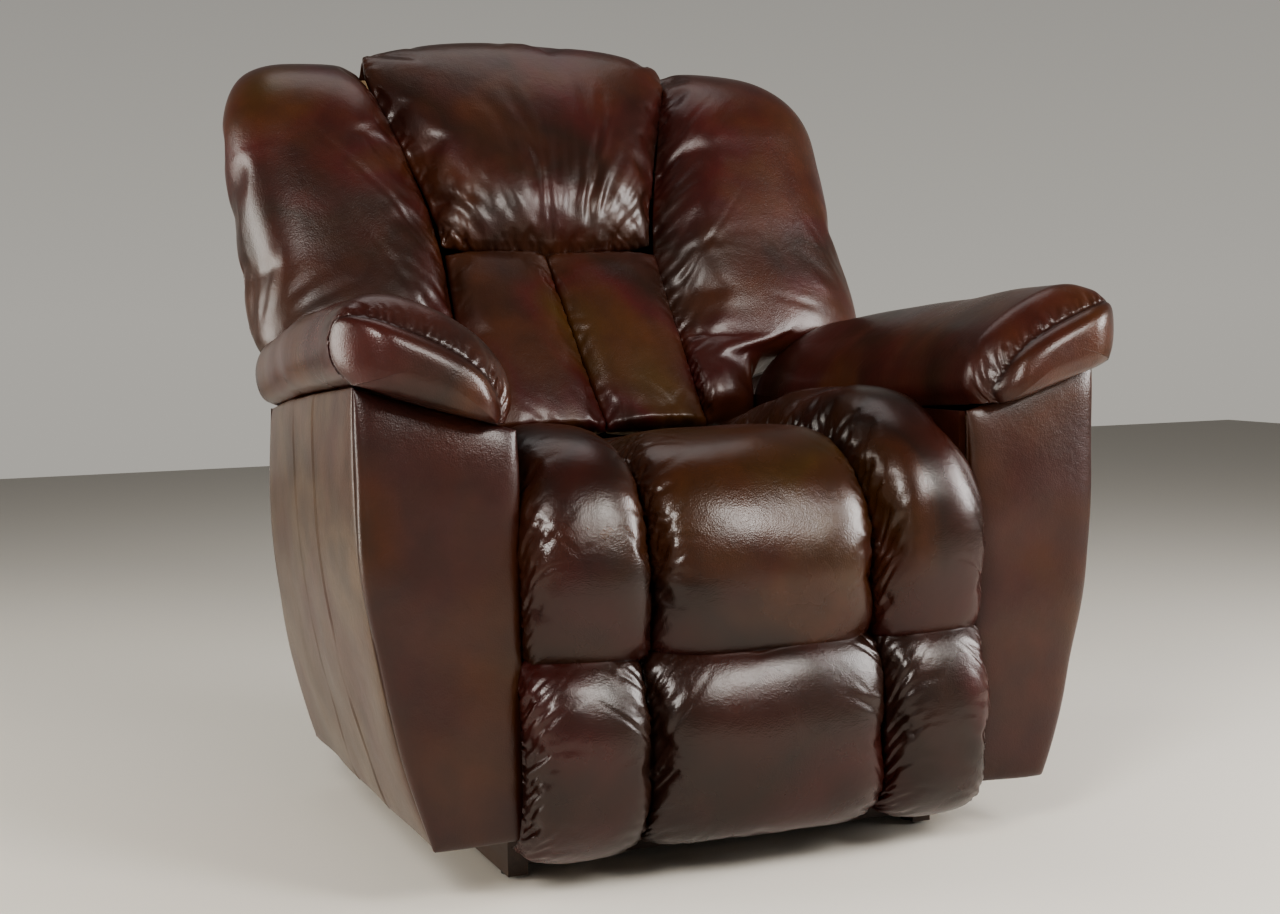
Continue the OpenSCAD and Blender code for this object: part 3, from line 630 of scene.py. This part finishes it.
def fan_folds(grid, dice, heart, below, count, near, reach, depth, width, spread):
    """Long soft folds fanning out from one pulled spot, at heart in the grid and some way below it."""
    rows, columns = grid.shape[:2]
    right = grid[rows // 2, -1] - grid[rows // 2, 0]
    right = right / np.linalg.norm(right)
    upward = grid[0, columns // 2] - grid[-1, columns // 2]
    upward = upward - right * upward.dot(right)
    upward = upward / np.linalg.norm(upward)
    centre = grid[int(heart[1] * (rows - 1)), int(heart[0] * (columns - 1))] - upward * below
    sideways = (grid - centre).dot(right)
    rising = (grid - centre).dot(upward)
    far = np.hypot(sideways, rising)
    angle = np.arctan2(sideways, rising)
    push = np.zeros((rows, columns))
    for _ in range(count):
        aim = dice.uniform(*spread)
        start = below / max(0.25, math.cos(aim)) * near + dice.uniform(0.0, 0.35) * reach
        stop = start + reach * dice.uniform(0.3, 0.8)
        wide = width * dice.uniform(0.55, 1.4)
        curl = dice.uniform(-0.8, 0.8)
        offset = far * (angle - aim - curl * (far - start))
        fade = np.clip((far - start) / 0.03, 0, 1) * np.clip((stop - far) / (0.6 * (stop - start)), 0, 1)
        valley = np.exp(-((offset / wide) ** 2))
        lips = np.exp(-(((np.abs(offset) - 2.1 * wide) / wide) ** 2))
        push += depth * dice.uniform(0.3, 1.1) * fade * (0.5 * lips - valley)
    return grid + outward(grid) * push[..., None]


def press_line(grid, edge, distance, depth, width, wander=0.0, seed=0):
    """A long valley in a grid, running beside one edge at a given distance from it."""
    along, inward = edge_distances(grid)[edge]
    drift = np.array([[noise.noise(Vector((value * 7, seed, 0))) for value in row] for row in along]) * wander
    offset = inward - distance - drift
    valley = np.exp(-((offset / width) ** 2))
    lip = np.exp(-(((offset - 2.2 * width) / width) ** 2))
    push = depth * (0.5 * lip - valley)
    return grid + outward(grid) * push[..., None]


def mirrored(front, back):
    """The same case on the other side of the chair."""
    flip = np.array([-1, 1, 1])
    return front[:, ::-1] * flip, back[:, ::-1] * flip


def sewn_on_lean(guide, edges, rise, sink, rows, columns, fullness=3.0, dip=0.0, ends=0.10, sag=0.0):
    """A case whose rows follow a side-view line down the back, between two side edges."""
    line = soft_curve(guide, rows)
    way = np.gradient(line, axis=0)
    way /= np.linalg.norm(way, axis=1, keepdims=True)
    along = np.linspace(0, 1, rows)
    across = edge_crowded(columns)
    falls = [-height for height, _, _ in edges]
    left, right = (
        eased(np.interp(-line[:, 1], falls, [edge[k] for edge in edges]), rows // 9) for k in (1, 2)
    )
    round_off = np.clip(1 - np.clip(1 - np.minimum(along, 1 - along) / ends, 0, 1) ** 2, 0, 1) ** 0.5
    height = eased(np.interp(along, *rise), rows // 7)
    form = swell(across, fullness)[None, :] * round_off[:, None] * (1 + 0.12 * (1 - across[None, :] ** 2))
    middle, half = (left + right) / 2, (right - left) / 2
    x = middle[:, None] + half[:, None] * across[None, :]
    low_end = np.clip((along - 0.6) / 0.4, 0, 1)[:, None] ** 2
    top_end = np.clip((0.35 - along) / 0.35, 0, 1)[:, None] ** 2
    lift = dip * across[None, :] ** 2 * low_end - sag * across[None, :] ** 2 * top_end
    depth = line[:, 0][:, None] + way[:, 1][:, None] * form * height[:, None]
    up = line[:, 1][:, None] - way[:, 0][:, None] * form * height[:, None] + lift
    rear_form = swell(across, 5)[None, :] * round_off[:, None] * sink
    rear_depth = line[:, 0][:, None] - way[:, 1][:, None] * rear_form
    rear_up = line[:, 1][:, None] + way[:, 0][:, None] * rear_form + lift
    return on_lean(x, depth, up), on_lean(x, rear_depth, rear_up)


back_hide = hide_finish("back_hide", [oxblood, dark_brown, burgundy, amber, chestnut], shift=(6, 1, 4))

# The headrest rolls over the top of the frame, with folds fanning up from its lower seam
dice = np.random.default_rng(31)
head_guide = [(0.046, 0.755), (0.030, 0.790), (-0.012, 0.797), (-0.046, 0.772), (-0.066, 0.70),
              (-0.080, 0.60), (-0.092, 0.49), (-0.094, 0.413)]
head_edges = [(0.80, -0.235, 0.235), (0.732, -0.250, 0.250), (0.66, -0.229, 0.229), (0.578, -0.200, 0.200),
              (0.488, -0.177, 0.177), (0.41, -0.165, 0.165)]
head_rise = ([0, 0.15, 0.3, 0.55, 0.8, 0.93, 1], [0.008, 0.014, 0.026, 0.046, 0.050, 0.034, 0.014])
front, back = sewn_on_lean(head_guide, head_edges, head_rise, sink=0.02, rows=270, columns=240,
                           dip=0.022, sag=0.067, ends=0.035)
front = undulate(front, size=0.16, depth=0.003, seed=31)
front, back = filled_out(front, back, most=0.010)
front = fan_folds(front, dice, heart=(0.52, 1.0), below=0.09, count=46, near=0.95, reach=0.26, depth=0.0015,
                  width=0.0075, spread=(-0.95, 0.95))
front = gather(front, "last", dice, spacing=0.0105, reach=0.070, depth=0.0014, width=0.0030,
               slant=(-0.5, 0.5))
front = gather(front, "last", dice, spacing=0.030, reach=0.120, depth=0.0018, width=0.0060, slant=(-0.6, 0.6))
for edge in ("left", "right"):
    front = gather(front, edge, dice, spacing=0.024, reach=0.045, depth=0.0020, slant=(0.1, 0.8))
headrest = sewn_case("headrest_case", front, back, ("left", "right", "last"), back_hide)
fit_out(headrest, "back", "back_leather", ["headrest_cushion"], fill=0.7)

# The lumbar pads: two flatter cases with a seam down the middle
lumbar_guide = [(-0.094, 0.422), (-0.108, 0.37), (-0.124, 0.30), (-0.142, 0.22), (-0.156, 0.15),
                (-0.160, 0.118)]
lumbar_rise = ([0, 0.2, 0.6, 0.85, 1], [0.014, 0.024, 0.028, 0.028, 0.026])
lumbar_top, lumbar_foot = 0.43, 0.12
for part, top_edges, foot_edges, seed in (
    ("left", (-0.012, 0.170), (0.024, 0.182), 41), ("right", (-0.165, -0.012), (-0.177, 0.024), 42),
):
    dice = np.random.default_rng(seed)
    edges = [(lumbar_top, *top_edges), (lumbar_foot, *foot_edges)]
    front, back = sewn_on_lean(lumbar_guide, edges, lumbar_rise, sink=0.03, rows=110, columns=70,
                               fullness=3.4, ends=0.035)
    front = undulate(front, size=0.10, depth=0.003, seed=seed)
    front, back = filled_out(front, back, most=0.004)
    for edge in ("left", "right"):
        front = gather(front, edge, dice, spacing=0.016, reach=0.050, depth=0.0011, width=0.0036,
                       slant=(-0.8, 0.8))
    front = gather(front, "last", dice, spacing=0.018, reach=0.05, depth=0.0024)
    front = gather(front, "first", dice, spacing=0.018, reach=0.03, depth=0.0018)
    front = gather(front, "last", dice, spacing=0.026, reach=0.110, depth=0.0012, width=0.0050,
                   slant=(-0.9, 0.9))
    pad = sewn_case(f"lumbar_case_{part}", front, back, ("left", "right", "last", "first"), back_hide)
    fit_out(pad, "back", "back_leather", [f"lumbar_cushion_{part}"], fill=0.6)

# The wings wrap round the frame's sides, and below the arm tops they narrow to a tail
# that runs down between the arm and the lumbar pad.
wing_table = [
    # height, inner seam x, outer x, fullest depth, seam depth, rear edge depth
    (0.128, 0.184, 0.284, -0.136, -0.120, -0.060),
    (0.165, 0.182, 0.286, -0.166, -0.146, -0.050),
    (0.185, 0.180, 0.288, -0.165, -0.145, -0.038),
    (0.200, 0.179, 0.298, -0.162, -0.143, -0.030),
    (0.219, 0.177, 0.314, -0.156, -0.139, -0.020),
    (0.240, 0.176, 0.344, -0.151, -0.134, -0.012),
    (0.256, 0.176, 0.420, -0.147, -0.130, -0.006),
    (0.272, 0.175, 0.494, -0.142, -0.126, 0.000),
    (0.300, 0.173, 0.508, -0.143, -0.120, 0.020),
    (0.355, 0.170, 0.514, -0.141, -0.105, 0.044),
    (0.400, 0.168, 0.514, -0.137, -0.096, 0.046),
    (0.500, 0.182, 0.507, -0.133, -0.090, 0.046),
    (0.600, 0.208, 0.494, -0.127, -0.082, 0.046),
    (0.768, 0.256, 0.494, -0.127, -0.082, 0.046),
]
wing_round_from, wing_top, wing_top_outer = 0.600, 0.773, 0.350
wing_narrows, wing_foot = (0.270, 0.215), 0.128


def wing_case(seed, spread, tuck_most):
    """A left wing. Spread moves its outer side at two heights, and its rear edge is tucked in behind."""
    turn = np.linspace(0, math.pi / 2, 90)
    height = np.concatenate([
        wing_round_from + (wing_top - wing_round_from) * np.cos(turn),
        np.linspace(wing_round_from, wing_narrows[0], 86)[1:],
        np.linspace(*wing_narrows, 38)[1:],
        np.linspace(wing_narrows[1], wing_foot, 60)[1:],
    ])
    rows, columns = len(height), 210
    stations = np.array(wing_table)
    inner, outer, full, seam, rear = (
        eased(np.interp(height, stations[:, 0], stations[:, k]), 11) for k in range(1, 6)
    )
    outer = outer + np.interp(height, (0.40, 0.58), spread) * np.clip((height - 0.235) / 0.05, 0, 1)
    climb = np.clip((height - wing_round_from) / (wing_top - wing_round_from), 0, 1)
    roll = np.sqrt(1 - climb ** 2)
    outer = wing_top_outer + (outer - wing_top_outer) * roll ** 0.8
    full = rear - 0.010 + (full - rear + 0.010) * roll
    seam = rear - 0.004 + (seam - rear + 0.004) * roll
    foot = np.clip((height - wing_foot) / 0.035, 0, 1)
    full = seam + (full - seam) * np.sqrt(1 - (1 - foot) ** 2)
    front = np.zeros((rows, columns, 3))
    back = np.zeros((rows, columns, 3))
    share = np.linspace(0, 1, columns)
    for i in range(rows):
        wide = outer[i] - inner[i]
        tuck = tuck_most * np.clip((height[i] - 0.225) / 0.06, 0, 1) * (0.3 + 0.7 * roll[i])
        section = soft_curve([
            (inner[i], seam[i]),
            (inner[i] + 0.03 * wide, 0.5 * (seam[i] + full[i]) - 0.006 * roll[i]),
            (inner[i] + 0.20 * wide, full[i] - 0.008 * roll[i]),
            (inner[i] + 0.50 * wide, full[i] - 0.006 * roll[i]),
            (inner[i] + 0.82 * wide, 0.92 * full[i] + 0.08 * rear[i]),
            (outer[i], 0.60 * full[i] + 0.40 * rear[i]),
            (outer[i] - 0.35 * tuck, 0.25 * full[i] + 0.75 * rear[i]),
            (outer[i] - tuck, rear[i]),
        ], columns)
        front[i] = on_lean(section[:, 0], section[:, 1], np.full(columns, height[i]))
        flat_x = section[0, 0] + (section[-1, 0] - section[0, 0]) * share
        flat_depth = section[0, 1] + (section[-1, 1] - section[0, 1]) * share
        back[i] = on_lean(flat_x, flat_depth, np.full(columns, height[i]))
    dice = np.random.default_rng(seed)
    front = undulate(front, size=0.14, depth=0.004, seed=seed)
    front, back = filled_out(front, back, most=0.008)
    front = gather(front, "left", dice, spacing=0.015, reach=0.19, depth=0.0013, width=0.0062,
                   slant=(-0.7, 0.1), span=(0.28, 0.72))
    front = gather(front, "left", dice, spacing=0.0105, reach=0.042, depth=0.0017, width=0.0030,
                   slant=(-0.5, 0.5))
    front = fan_folds(front, dice, heart=(0.80, 0.62), below=0.02, count=12, near=0.8, reach=0.22,
                      depth=0.0007, width=0.0075, spread=(-1.6, 0.2))
    return front, back


for part, seed, spread, tuck_most in (
    ("left", 51, (0.013, 0.010), 0.040), ("right", 52, (-0.048, -0.020), 0.058),
):
    front, back = wing_case(seed, spread, tuck_most)
    if part == "right":
        front, back = mirrored(front, back)
    wing = sewn_case(f"wing_case_{part}", front, back, ("left", "right", "last"), back_hide)
    fit_out(wing, "back", "back_leather", [f"wing_cushion_{part}"], fill=0.7)


# ---- The outside of the back ----
# A padded sheet of hide over card, tacked to the rear of the frame, with a plain flap
# below it. Small boxed pads fill in between it and the arms.
def plate_case(place, rows, columns, puff, thick, fullness=9):
    """A thin padded panel. place turns shares across, a step down and a puff out into points."""
    along = edge_crowded(rows, 0.75)
    across = edge_crowded(columns, 0.75)
    form = swell(along, fullness)[:, None] * swell(across, fullness)[None, :]
    share = (across + 1) / 2
    grids = []
    for out in (puff * form, -thick * form):
        grid = np.zeros((rows, columns, 3))
        for i, step in enumerate((along + 1) / 2):
            grid[i] = place(share, step, out[i])
        grids.append(grid)
    return grids


outside_hide = hide_finish("outside_hide", [oxblood, dark_brown, dark_brown, chestnut, oxblood],
                           shift=(1, 8, 3), gloss=0.34)
back_top, back_foot, outside_depth = 0.768, -0.018, 0.050


def outside_place(share, step, out):
    height = back_top + (back_foot - back_top) * step
    half = np.interp(height, [back_foot, 0.270, 0.360, 0.500, 0.600], [0.370, 0.404, 0.438, 0.438, 0.438])
    climb = np.clip((height - wing_round_from) / (wing_top - wing_round_from), 0, 1)
    half = wing_top_outer - 0.012 + (half - wing_top_outer + 0.012) * np.sqrt(1 - climb ** 2) ** 0.8
    crown = 0.012 * (1 - (2 * share - 1) ** 2) * np.clip((height - 0.70) / 0.07, 0, 1)
    return on_lean(half * (1 - 2 * share), outside_depth + out, height + crown)


front, back = plate_case(outside_place, rows=150, columns=150, puff=0.016, thick=0.002)
front = undulate(front, size=0.16, depth=0.003, seed=61)
dice = np.random.default_rng(61)
front = gather(front, "first", dice, spacing=0.030, reach=0.06, depth=0.0016)
outside = sewn_case("outside_back_cover", front, back, ("left", "right", "first", "last"), outside_hide)
fit_out(outside, "back", "outside_leather", ["back_outside_panel"], fill=0.3)


flap_half, flap_top, flap_foot = 0.247, -0.020, -0.109


def flap_place(share, step, out):
    return on_lean(flap_half * (1 - 2 * share), outside_depth + out, flap_top + (flap_foot - flap_top) * step)


front, back = plate_case(flap_place, rows=40, columns=80, puff=0.010, thick=0.001)
flap = sewn_case("outside_back_flap", front, back, ("left", "right", "last"), outside_hide)
fit_out(flap, "back", "outside_leather", [])

pad_foot, pad_top, pad_inner = -0.010, 0.288, 0.264


def side_pad_place(share, step, out):
    height = pad_top + (pad_foot - pad_top) * step
    outer = np.interp(height, [pad_foot, pad_top], [0.364, 0.398])
    return on_lean(pad_inner + (outer - pad_inner) * share, 0.025 - out, np.full(share.shape, height))


for part in ("left", "right"):
    front, back = plate_case(side_pad_place, rows=60, columns=60, puff=0.021, thick=0.021, fullness=12)
    front = undulate(front, size=0.09, depth=0.003, seed=63)
    if part == "right":
        front, back = mirrored(front, back)
    pad = sewn_case(f"back_side_pad_{part}", front, back, ("left", "right", "first", "last"), outside_hide)
    fit_out(pad, "back", "outside_leather", ["back_side_panels"], fill=0.5)


# ---- The arms ----
# Hardwood boxes covered in hide: smooth padded fronts, plain sides with tailored seams,
# and a fat fibre-stuffed roll on top with a lens-shaped panel sewn into its front.
arm_inner_x, arm_outer_x = 0.2915, 0.474
arm_foot, arm_bend, arm_tuck = 0.072, 0.460, 0.077
arm_front_y, arm_rear_y = -0.470, 0.165
arm_fall, arm_draw = 0.050, 0.030


def arm_side_x(z):
    return arm_outer_x - arm_tuck * np.clip((arm_bend - z) / (arm_bend - arm_foot), 0, 1) ** 1.75


def arm_top_z(x):
    return 0.540 + 0.054 * (x - 0.290) / 0.184


def arm_drop(y):
    """The top of the arm falls away towards the rear."""
    return arm_fall * np.clip((y - arm_front_y) / (arm_rear_y - arm_front_y), 0, 1) ** 1.15


def arm_tuck_in(y, z):
    """The side of the arm draws in towards the rear, most at the top."""
    rearward = np.clip((y + 0.270) / (arm_rear_y + 0.270), 0, 1)
    return arm_draw * rearward ** 1.2 * np.clip((z - 0.07) / 0.50, 0, 1)


arm_front_hide = hide_finish(
    "arm_front_hide",
    [(0.066, 0.0135, 0.0045), oxblood, (0.070, 0.0195, 0.0055), (0.055, 0.021, 0.006), burgundy],
    shift=(4, 4, 7), gloss=0.30, strength=0.62)
# The arm sides get lighter, greyer browns than the rest of the hide: a painted sheen, the grey-brown
# reflection of the bright room at the chair's sides, laid over the leather's own brown.
arm_side_hide_painted_sheen = hide_finish(
    "arm_side_hide_painted_sheen",
    [(0.078, 0.046, 0.028), (0.060, 0.032, 0.019), (0.080, 0.048, 0.028), dark_brown, oxblood],
    shift=(9, 3, 2), gloss=0.34)
arm_hide = hide_finish("arm_hide", [oxblood, dark_brown, chestnut, oxblood, burgundy],
                       shift=(8, 6, 5), gloss=0.27)


def arm_end_place(plane_y, facing):
    def place(share, step, out):
        side_share = share if facing < 0 else 1 - share
        top = arm_top_z(arm_inner_x + (arm_outer_x - arm_inner_x) * side_share) - arm_drop(plane_y)
        z = top + (arm_foot - top) * step
        x = arm_inner_x + (arm_side_x(z) + 0.002 - arm_tuck_in(plane_y, z) - arm_inner_x) * side_share
        return np.stack([x, plane_y + facing * out, z], axis=-1)
    return place


side_front_y, side_rear_y = -0.463, 0.158


def arm_side_place(share, step, out):
    y = side_front_y + (side_rear_y - side_front_y) * share
    top = arm_top_z(arm_outer_x) - arm_drop(y)
    z = top + (arm_foot - top) * step
    return np.stack([arm_side_x(z) - arm_tuck_in(y, z) + out, y, z], axis=-1)


# The outline of the whole roll, and of the lens-shaped panel in its front, each with its underside
pad_section = [
    (0.474, 0.597), (0.494, 0.606), (0.504, 0.640), (0.496, 0.672), (0.470, 0.693), (0.435, 0.696),
    (0.398, 0.684), (0.358, 0.664), (0.322, 0.638), (0.298, 0.604), (0.292, 0.570), (0.303, 0.548),
]
pad_bottom = [(0.350, 0.560), (0.410, 0.577), (0.474, 0.597)]
lens_section = [
    (0.482, 0.597), (0.499, 0.618), (0.503, 0.648), (0.494, 0.673), (0.459, 0.668), (0.428, 0.656),
    (0.397, 0.643), (0.365, 0.626), (0.338, 0.605), (0.322, 0.580), (0.315, 0.563), (0.322, 0.549),
]
lens_bottom = [(0.352, 0.556), (0.395, 0.571), (0.437, 0.584), (0.484, 0.598)]


def ring_of(section, bottom, count):
    over = soft_curve(section, int(count * 0.72))
    under = soft_curve([section[-1]] + bottom, count - len(over) + 2)
    return np.vstack([over, under[1:-1]])


def closed_roll(name, rings, seam_row, finish):
    """A stuffed roll made of rings, closed by a point at each end."""
    rows, count = rings.shape[:2]
    shell = bmesh.new()
    layer = shell.verts.layers.float.new("seam_shade")
    steps = np.linalg.norm(np.diff(rings, axis=0), axis=2).mean(axis=1)
    reach = np.concatenate([[0], np.cumsum(steps)])
    points = []
    for i in range(rows):
        if i in (0, rows - 1):
            tip = shell.verts.new(rings[i].mean(axis=0))
            points.append([tip] * count)
        else:
            points.append([shell.verts.new(place) for place in rings[i]])
        for point in set(points[-1]):
            point[layer] = float(np.exp(-abs(reach[i] - reach[seam_row]) / 0.006))
    for i in range(rows - 1):
        for j in range(count):
            following = (j + 1) % count
            ring = [points[i][j], points[i][following], points[i + 1][following], points[i + 1][j]]
            ring = [point for k, point in enumerate(ring) if point not in ring[:k]]
            if len(ring) > 2:
                shell.faces.new(ring)
    bmesh.ops.recalc_face_normals(shell, faces=shell.faces)
    return smooth_object(name, shell, finish)


def set_back(x):
    """The front face of the roll turns back at its outer end and at its inner tip."""
    outer_turn = 0.034 * np.clip((x - 0.440) / 0.062, 0, 1) ** 2
    inner_turn = 0.014 * np.clip((0.345 - x) / 0.03, 0, 1) ** 2
    return outer_turn + inner_turn


roll_front_y, roll_middle = -0.505, np.array([0.412, 0.617])


def arm_roll(name, side, seed):
    count = 380
    whole = ring_of(pad_section, pad_bottom, count)
    lens = ring_of(lens_section, lens_bottom, count)
    dice = np.random.default_rng(seed)
    stations = np.concatenate([
        np.linspace(roll_front_y, -0.430, 46),
        np.linspace(-0.430, 0.10, 120)[1:],
        np.linspace(0.10, arm_rear_y, 24)[1:],
    ])
    tube = []
    for y in stations:
        opened = np.clip((y - roll_front_y) / 0.050, 0, 1)
        opened = math.sin(opened * math.pi / 2) ** 0.8
        ring = lens * (1 - opened) + whole * opened
        closing = 1 - math.sqrt(1 - np.clip((y - 0.125) / 0.04, 0, 1) ** 2)
        shrink = 1 - 0.16 * closing
        narrowed = np.where(ring[:, 0] > roll_middle[0], 0.26, 0.08)
        x = roll_middle[0] + (ring[:, 0] - roll_middle[0]) * (1 - closing * narrowed)
        x = x - arm_tuck_in(y, 0.6) * np.clip((x - 0.35) / 0.12, 0, 1)
        z = 0.60 + (ring[:, 1] - 0.60) * shrink - arm_drop(y)
        tube.append(np.stack([x, y + set_back(ring[:, 0]) * (1 - opened), z], axis=-1))
    tube = np.array(tube)
    tube = undulate(tube, size=0.13, depth=0.005, seed=seed)
    top_span = (0.06, 0.66)
    tube = gather(tube, "first", dice, spacing=0.0072, reach=0.034, depth=0.0019, width=0.0024,
                  slant=(-0.3, 0.3), span=top_span)
    tube = gather(tube, "first", dice, spacing=0.026, reach=0.090, depth=0.0013, width=0.0055,
                  slant=(-0.6, 0.6), span=top_span)
    face = []
    for part in np.concatenate([np.linspace(0, 0.85, 22), np.linspace(0.87, 1, 12)]):
        flat = roll_middle + (lens - roll_middle) * part
        bulge = 0.024 * (1 - part ** 3.0) ** 0.55
        face.append(np.stack([flat[:, 0], roll_front_y - bulge + set_back(flat[:, 0]), flat[:, 1]], axis=-1))
    face = np.array(face)
    rear = []
    for part in np.linspace(1, 0, 10)[1:]:
        centre = tube[-1].mean(axis=0)
        ring = centre + (tube[-1] - centre) * part
        ring[:, 1] = arm_rear_y + 0.006 * (1 - part ** 2)
        rear.append(ring)
    rings = np.concatenate([face, tube[1:], np.array(rear)])
    if side < 0:
        rings = rings * np.array([-1, 1, 1])
    return closed_roll(name, rings, len(face) - 1, arm_hide)


# Each seam down the arm's side: its distance from the front, depth and width
side_seams = ((0.195, 0.0016, 0.0022), (0.350, 0.0014, 0.0024))
for side, part, seed in ((1, "left", 71), (-1, "right", 72)):
    fronts = plate_case(arm_end_place(arm_front_y + 0.002, -1), rows=130, columns=70, puff=0.016,
                        thick=0.001, fullness=7)
    fronts[0] = undulate(fronts[0], size=0.10, depth=0.003, seed=seed)
    rears = plate_case(arm_end_place(arm_rear_y - 0.004, 1), rows=100, columns=50, puff=0.006, thick=0.001,
                       fullness=9)
    sides = plate_case(arm_side_place, rows=130, columns=150, puff=0.006, thick=0.003, fullness=14)
    sides[0] = undulate(sides[0], size=0.14, depth=0.003, seed=seed)
    for distance, depth, width in side_seams:
        sides[0] = press_line(sides[0], "left", distance, depth, width, wander=0.006, seed=seed + distance)
    for name, sheets, slot, node, finish, fill in (
        ("arm_front_cover", fronts, "arm_front_leather", f"arm_front_panel_{part}", arm_front_hide, 0.4),
        ("arm_rear_cover", rears, "outside_leather", "arm_rear_panels", outside_hide, None),
        ("arm_side_cover", sides, "arm_side_leather", f"arm_outer_panel_{part}", arm_side_hide_painted_sheen, None),
    ):
        front, back = sheets if side > 0 else mirrored(*sheets)
        cover = sewn_case(f"{name}_{part}", front, back, ("left", "right", "last"), finish)
        fit_out(cover, "chassis", slot, [node], fill)
    roll = arm_roll(f"arm_roll_{part}", side, seed)
    fit_out(roll, "chassis", "arm_leather", [f"arm_pad_{part}"], fill=0.8)
dress(arm_hide, "arm_inner_panel_left", "arm_inner_panel_right")
